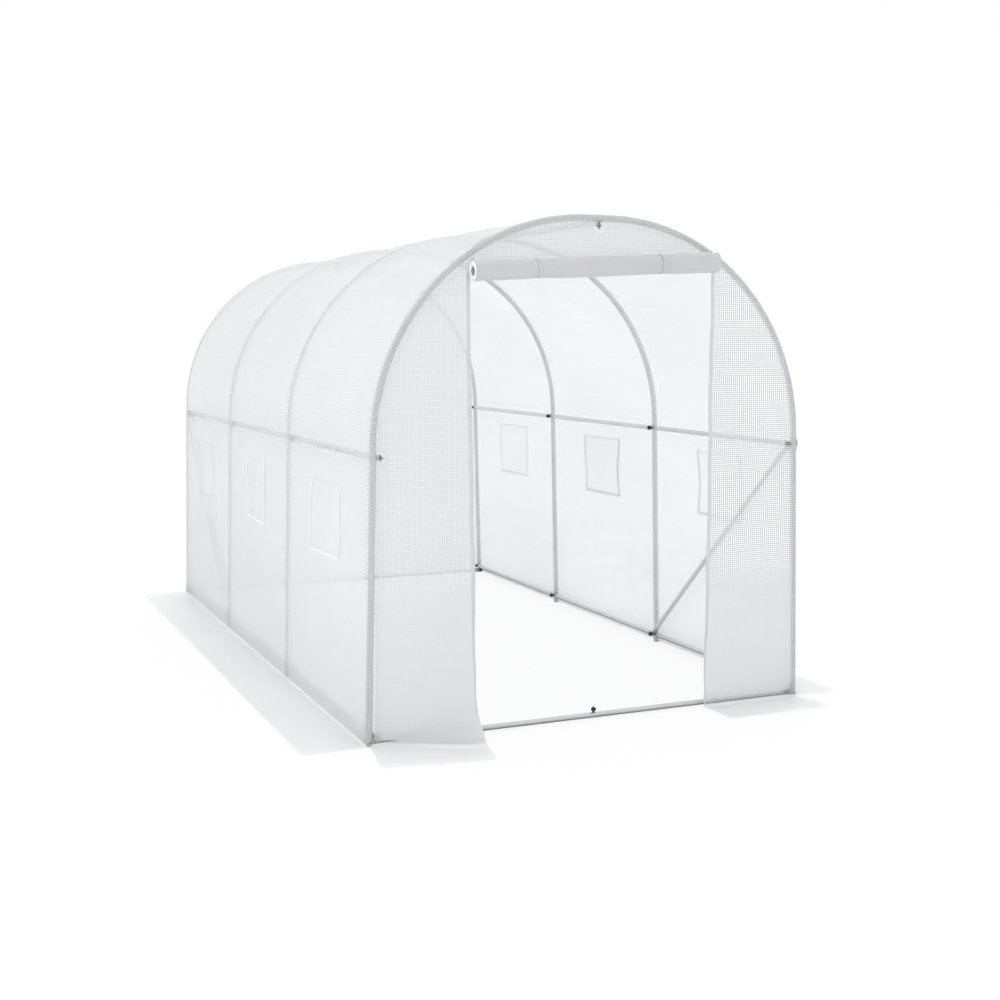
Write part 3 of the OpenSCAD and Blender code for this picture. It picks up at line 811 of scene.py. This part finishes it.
def upright_threads(sheet, low, high, foot_z=None):
    """Threads up a sheet between x low and high; they start on the skirt, or at height foot_z(x)."""
    x = np.arange(low + UPRIGHT_PITCH / 2, high, UPRIGHT_PITCH)
    if foot_z is None:
        v = rows_at(sheet, x, arch_z(x)).T
    else:
        share = np.linspace(0, 1, HEAD_ROWS)
        v = foot_z(x)[:, None] + (arch_z(x) - foot_z(x))[:, None] * share
    x = x[:, None]
    return ribbons(sheet.at(x - THREAD / 2, v, LIFT), sheet.at(x + THREAD / 2, v, LIFT))


def level_threads(sheet, low, high, bottom, top, count):
    """Threads across a sheet between the edges low(z) and high(z)."""
    v = np.arange(bottom, top, PITCH)[:, None]
    z = np.clip(v, 0, None)
    a, b = low(z), high(z)
    wide = (b - a)[:, 0] > 0.02
    x = a[wide] + (b - a)[wide] * np.linspace(0, 1, count)
    return ribbons(sheet.at(x, v[wide] - THREAD / 2, LIFT), sheet.at(x, v[wide] + THREAD / 2, LIFT))


def header_right(z):
    """Right end of a thread across the header: the arch, the doorway's edge or the tilted foot."""
    return np.minimum(np.minimum(DOOR_RIGHT, arch_x(z)), DOOR_MIDDLE + (z - DOOR_TOP) / math.tan(TILT))


# Lowest and highest thread across each panel, and the points in each thread
LEFT_LEVELS = (-0.21, 1.84, 16)
RIGHT_LEVELS = (-0.17, 1.86, 16)
HEADER_LEVELS = (1.775, 1.985, 28)
REAR_LEVELS = (-0.225, 1.985, 52)

front_upright_threads = add_mesh("front_upright_threads", *joined(
    upright_threads(front, -FOOT_HALF, DOOR_LEFT_TOP), upright_threads(front, DOOR_RIGHT, FOOT_HALF),
    upright_threads(front, DOOR_LEFT_TOP, DOOR_RIGHT, door_z)), [panel_thread])
front_level_threads = add_mesh("front_level_threads", *joined(
    level_threads(front, lambda z: -arch_x(z), lambda z: door_edge(-1, z), *LEFT_LEVELS),
    level_threads(front, lambda z: door_edge(1, z), arch_x, *RIGHT_LEVELS),
    level_threads(front, lambda z: np.maximum(DOOR_LEFT_TOP, -arch_x(z)), header_right, *HEADER_LEVELS)),
    [panel_thread])
rear_upright_threads = add_mesh("rear_upright_threads", *upright_threads(
    rear, -FOOT_HALF, FOOT_HALF), [panel_thread])
rear_level_threads = add_mesh("rear_level_threads", *level_threads(
    rear, lambda z: -arch_x(z), arch_x, *REAR_LEVELS), [panel_thread])


# Rolled-up door: one long film wound into a loose spiral, held by two tapes

ROLL_Y = FRONT_Y - 0.0611
ROLL_R = 0.039
ROLL_CORE = 0.017
ROLL_HALF = 0.522
ROLL_TURNS = 9.9
STRAPS = (-0.262, 0.272)
roll_axis = np.array([math.cos(TILT), 0.0, math.sin(TILT)])
roll_up = np.array([-math.sin(TILT), 0.0, math.cos(TILT)])
roll_front = np.array([0.0, -1.0, 0.0])
roll_centre = np.array([DOOR_MIDDLE - 0.014, ROLL_Y, DOOR_TOP])


def roll_radius(along):
    """Outer radius, fuller to the right and pinched under the tapes."""
    pinch = sum(0.003 * np.exp(-((along - x) / 0.025) ** 2) for x in STRAPS)
    return ROLL_R + 0.0015 * along / ROLL_HALF + 0.001 * lumps(along, 0 * along, 41, 0.12, 0.5) - pinch


def about_roll(off, r, angle):
    """Points at distances off along the roll's axis, at radius r and an angle from the front upwards."""
    off, r, angle = (np.asarray(k)[..., None] for k in np.broadcast_arrays(off, r, angle))
    return (roll_centre + off * roll_axis + r * np.cos(angle) * roll_front
            + r * np.sin(angle) * roll_up)


def roll_at(along, turn):
    """A point of the door film: along its width, and turn in radians from the outer edge inwards."""
    share = turn / (2 * math.pi * ROLL_TURNS)
    r = roll_radius(along) - (ROLL_R - ROLL_CORE) * share
    angle = math.radians(200) + turn
    off = along * (1 + 0.006 * np.sin(turn * 0.9 + 0.6)) + 0.004 * np.sin(turn * 0.37)
    off = np.clip(off, -ROLL_HALF - 0.004, ROLL_HALF + 0.004)
    return about_roll(off, r, angle)


turns = np.linspace(0, 2 * math.pi * ROLL_TURNS, int(ROLL_TURNS * 40))
across = np.linspace(-ROLL_HALF, ROLL_HALF, 61)
roll_points = roll_at(*np.broadcast_arrays(across[None, :], turns[:, None]))
rolled_film = add_mesh("rolled_film", *grid_shape(roll_points), [roll_film])
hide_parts("rolled_door")


def roll_ring(end):
    """The wound edges of the film at one end of the roll."""
    along = end * (ROLL_HALF + 0.003)
    turn = np.radians(np.linspace(0, 360, 49))
    outer = float(roll_radius(np.array(along))) - 0.0006
    share = np.linspace(0, 1, 5)[:, None]
    r = ROLL_CORE + (outer - ROLL_CORE) * share
    off = along + end * 0.003 * np.sin(math.pi * share)
    return grid_shape(about_roll(off, r, turn))


roll_ends = add_mesh("roll_ends", *joined(roll_ring(-1), roll_ring(1)), [seam_tape])

STRAP_WIDE = 0.014


def strap(x):
    """A tape round the roll."""
    angle = np.radians(np.linspace(-200, 160, 49))
    r = float(roll_radius(np.array(x))) + 0.0012
    width = np.linspace(-STRAP_WIDE / 2, STRAP_WIDE / 2, 4)
    return grid_shape(about_roll(x + width[None, :], r, angle[:, None]))


roll_straps = []
for name, x in zip(("left_roll_strap", "right_roll_strap"), STRAPS):
    roll_straps.append(add_mesh(name, *strap(x), [strap_tape]))
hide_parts("door_straps")


# Zips along the door's two sides

ZIP_WIDE = 0.016


def zip_strip(side):
    """Tape along a free edge of the front cover, narrower towards the foot."""
    top = float(door_z(door_edge(side, 1.8)))
    share = np.linspace(0, 1, 90)[:, None]
    wide = ZIP_WIDE * (0.4 + 0.6 * smoothstep(share / 0.3))
    x = door_edge(side, share * top) + side * wide * np.linspace(0, 1, 5)
    foot = 0.5 * front.bend(x)
    v = foot + (top - foot) * share
    return grid_shape(front.at(x, v, 0.0012))


left_zip = add_mesh("left_zip", *zip_strip(-1), [zip_tape])
right_zip = add_mesh("right_zip", *zip_strip(1), [zip_tape])
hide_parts("left_door_zip")
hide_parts("right_door_zip")


# Windows: a screen in each opening and a flap outside it, with tape round three sides

BAY_NAMES = ("front", "middle", "rear")
SIDE_NAMES = {-1: "left", 1: "right"}
window_sheets = []


def wall_sheet(side, middle, low, high, half, lift, name, material, step=0.03, seed=0, ripple=0.0):
    """A sheet on the wall, following the main cover at a distance."""
    y = stations([middle - half, middle + half], step)
    z = stations([low, high], step)
    off = lift + ripple * (1 + lumps(z[:, None], y[None, :], seed, 0.08, 0.3))
    return add_mesh(name, *grid_shape(cover(side * wall_s(z)[:, None], y[None, :], off)), [material])


def flap_tape(side, middle, low, high, half, name, material):
    """Tape down both sides and along the foot of a flap."""
    y, z = stations([middle - half, middle + half], 0.03), stations([low, high], 0.03)
    strips = [(np.linspace(middle - half, middle - half + TAPE_UPRIGHT, 3), z),
              (np.linspace(middle + half - TAPE_UPRIGHT, middle + half, 3), z),
              (y, np.linspace(low, low + TAPE_LEVEL, 3))]
    shapes = [grid_shape(cover(side * wall_s(zs)[:, None], ys[None, :], TAPE_LIFT)) for ys, zs in strips]
    return add_mesh(name, *joined(*shapes), [material])


for side, (low, high) in WINDOWS.items():
    for i, middle in enumerate(bay_middles()):
        tag = f"{SIDE_NAMES[side]}_{BAY_NAMES[i]}"
        net = wall_sheet(side, middle, low - SCREEN_OVER, high + SCREEN_OVER, WINDOW_HALF + SCREEN_OVER,
                         SCREEN_LIFT, f"{tag}_screen", screen_cloth)
        flap_place = (side, middle, low - FLAP_OVER, high + FLAP_OVER, WINDOW_HALF + FLAP_OVER)
        flap = wall_sheet(*flap_place, FLAP_LIFT, f"{tag}_flap", flap_film, seed=51 + i, ripple=0.0008)
        edge = flap_tape(*flap_place, f"{tag}_flap_tape", seam_tape if i < 2 else flap_film)
        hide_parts(f"{SIDE_NAMES[side]}_window_screens")
        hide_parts(f"{SIDE_NAMES[side]}_window_flaps")
        window_sheets += [net, flap, edge]


# Bolt cap on the outer side of the front right leg, under the film

def bolt_cap():
    """A dome on the leg at the side rail's bolt."""
    rise = np.radians(np.linspace(0, 84, 6))[:, None, None]
    turn = np.radians(np.linspace(0, 360, 17))[:, None]
    out = np.array([math.cos(LEAN), 0.0, math.sin(LEAN)])
    up = np.array([-math.sin(LEAN), 0.0, math.cos(LEAN)])
    back = np.array([0.0, 1.0, 0.0])
    seat = np.array([float(arch_x(RAIL_Z)), FRONT_Y, RAIL_Z]) + out * (TUBE_R - 0.001)
    ring = CAP_R * np.cos(rise)
    dome = seat + out * (CAP_H + 0.001) * np.sin(rise) + ring * np.cos(turn) * up + ring * np.sin(turn) * back
    return grid_shape(dome)


caps = add_mesh("bolt_caps", *bolt_cap(), [knob])
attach(caps, "root")


# What each piece rides on

film_pieces = [main_cover, front_cover, rear_cover, rolled_film, roll_ends, cover_long_threads,
               cover_cross_threads, front_upright_threads, front_level_threads, rear_upright_threads,
               rear_level_threads]
for piece in film_pieces:
    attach(piece, "root")
for piece in window_sheets:
    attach(piece, "root")
for piece in (left_zip, right_zip, *roll_straps):
    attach(piece, "root")


# Flat sizes of the sheets

def span_area(low, high, bottom, top):
    """Area between two edges low(z) and high(z)."""
    z = np.linspace(bottom, top, 400)
    return float((middles(high(z) - low(z)) * np.diff(z)).sum())


def skirt_area(sheet, low, high):
    """Area of the skirt before a panel between x low and high."""
    x = np.linspace(low, high, 200)
    return float((middles(sheet.depth(x)) * np.diff(x)).sum())


front_area = (span_area(lambda z: -arch_x(z), arch_x, 0, CROWN_Z)
              - span_area(lambda z: door_edge(-1, z), lambda z: door_edge(1, z), 0, DOOR_TOP)
              + skirt_area(front, -FOOT_HALF, DOOR_LEFT_FOOT) + skirt_area(front, DOOR_RIGHT, FOOT_HALF))
(span_area(lambda z: -arch_x(z), arch_x, 0, CROWN_Z)
               + skirt_area(rear, -FOOT_HALF, FOOT_HALF))


# Finishes of the CAD nodes that show

for name, ob in nodes.items():
    if ob.hide_render:
        continue
    ob.data.materials.clear()
    ob.data.materials.append(knob if name == "hand_knobs" else tube)


# Camera at the photo's place

camera = bpy.data.cameras.new("camera")
camera.lens = 49.8
camera.sensor_width = 36.0
camera.clip_end = 200.0
eye = bpy.data.objects.new("camera", camera)
bpy.context.scene.collection.objects.link(eye)
eye.location = (MIDDLE_X - 2.5241, FRONT_Y - 4.8416, 1.5177)
YAW, PITCH_DOWN = 0.4103, 0.1148
level_look = math.cos(PITCH_DOWN)
look = Vector((math.sin(YAW) * level_look, math.cos(YAW) * level_look, -math.sin(PITCH_DOWN)))
eye.rotation_euler = look.to_track_quat("-Z", "Y").to_euler()
bpy.context.scene.camera = eye


# Floor and soft studio light

def floor_material():
    """White floor that shows as the white background and still takes the object's soft shadow."""
    m, tree, out = new_material("floor")
    path = tree.nodes.new("ShaderNodeLightPath")
    matt = node(tree, "ShaderNodeBsdfDiffuse")
    seen = path.outputs["Is Camera Ray"]
    link(tree, two_colours(tree, seen, (0.94, 0.94, 0.94), (0.98, 0.98, 0.98)), matt.inputs["Color"])
    glow = node(tree, "ShaderNodeEmission", Color=(1, 1, 1, 1), Strength=1.0)
    share = maths(tree, "MULTIPLY", seen, 0.82)
    link(tree, mix_shaders(tree, share, matt.outputs[0], glow.outputs[0]), out.inputs["Surface"])
    return m


FLOOR_HALF = 60
floor_corners = [(x * FLOOR_HALF, y * FLOOR_HALF, -0.001) for x, y in ((-1, -1), (1, -1), (1, 1), (-1, 1))]
floor = add_mesh("floor", floor_corners, [(0, 1, 2, 3)], [floor_material()])
floor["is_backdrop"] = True


def studio_world():
    """A white dome, brighter low down and dimmer before the door; it shows as plain white."""
    world = bpy.data.worlds.new("studio")
    world.use_nodes = True
    tree = world.node_tree
    tree.nodes.clear()
    sky = tree.nodes.new("ShaderNodeTexCoord")
    level = ranged(tree, axes_of(tree, sky.outputs["Generated"])[2], 0.0, 1.0, 1.26, 1.10, "SMOOTHSTEP")
    ahead = node(tree, "ShaderNodeVectorMath", operation="DOT_PRODUCT")
    link(tree, sky.outputs["Generated"], ahead.inputs[0])
    ahead.inputs[1].default_value = (-0.46, -0.89, 0.0)
    door_side = ranged(tree, ahead.outputs["Value"], -0.5, 0.95, 1.18, 0.56, "SMOOTHSTEP")
    lit = node(tree, "ShaderNodeBackground", Color=(1, 1, 1, 1))
    link(tree, maths(tree, "MULTIPLY", level, door_side), lit.inputs["Strength"])
    seen = node(tree, "ShaderNodeBackground", Color=(1, 1, 1, 1), Strength=1.0)
    path = tree.nodes.new("ShaderNodeLightPath")
    out = tree.nodes.new("ShaderNodeOutputWorld")
    shown = mix_shaders(tree, path.outputs["Is Camera Ray"], lit.outputs[0], seen.outputs[0])
    link(tree, shown, out.inputs["Surface"])
    return world


bpy.context.scene.world = studio_world()

key = bpy.data.lights.new("key", "AREA")
key.shape = "DISK"
key.size = 4.0
key.energy = 40.0
key_at = bpy.data.objects.new("key", key)
bpy.context.scene.collection.objects.link(key_at)
key_at.location = (-4.5, -4.0, 5.5)
key_at.rotation_euler = (Vector((0, 0, 0.8)) - key_at.location).to_track_quat("-Z", "Y").to_euler()

bpy.context.scene.view_settings.view_transform = "Standard"

low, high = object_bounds()
